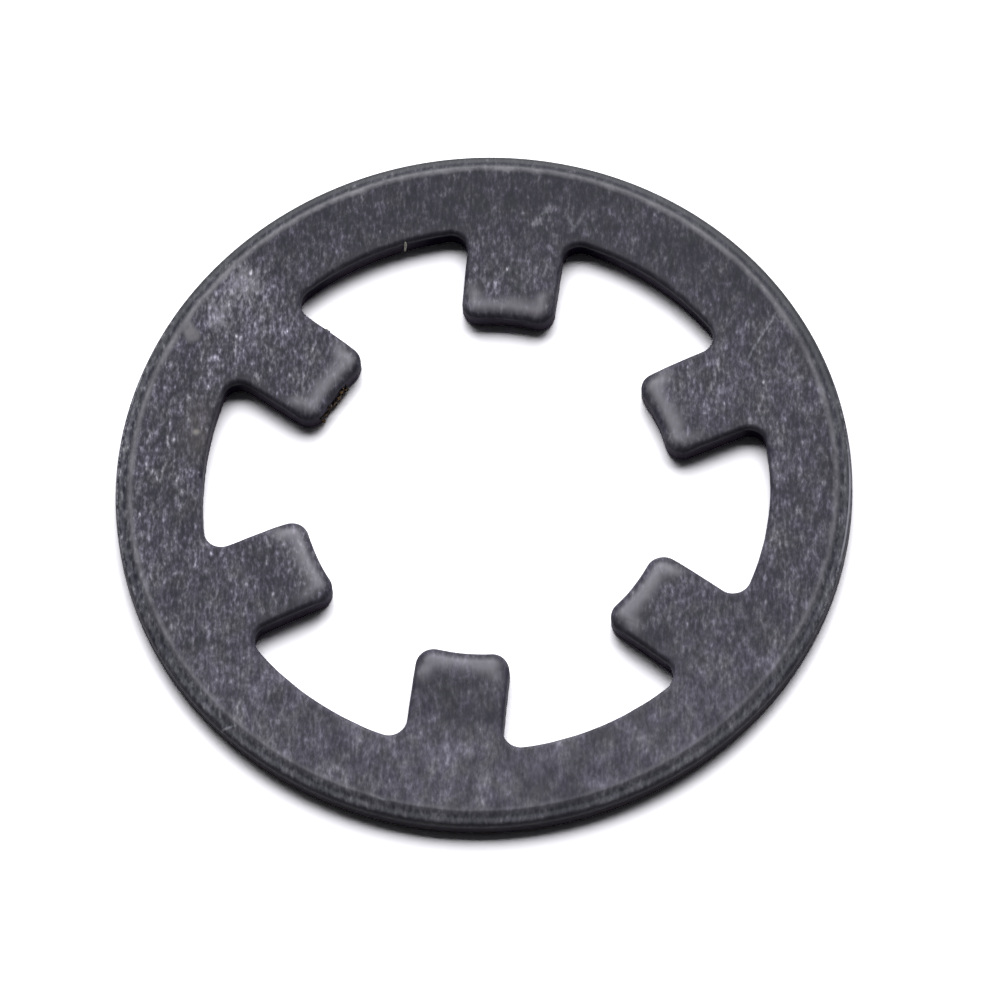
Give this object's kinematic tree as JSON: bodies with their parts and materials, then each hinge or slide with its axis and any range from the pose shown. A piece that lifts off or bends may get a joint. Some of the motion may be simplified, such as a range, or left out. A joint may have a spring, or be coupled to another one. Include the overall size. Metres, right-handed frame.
{
  "type": "retaining ring",
  "caption": "Flat push-on retaining ring with a bevelled rim and short square inward lugs that grip a shaft.",
  "frame": {"origin": "on the ring's axis, at the flat underside", "axes": "+Z along the axis, from the underside to the bevelled upper face; +Y towards the middle of one lug"},
  "size_m": [0.025, 0.025, 0.0008],
  "materials": {
    "blackened_spring_steel": "dark grey phosphate and oil, matt, with fine pale speckle, and burnished along the rim crease and the lug tips"
  },
  "bodies": {
    "root": {"retaining_ring": "blackened_spring_steel"}
  },
  "joints": []
}
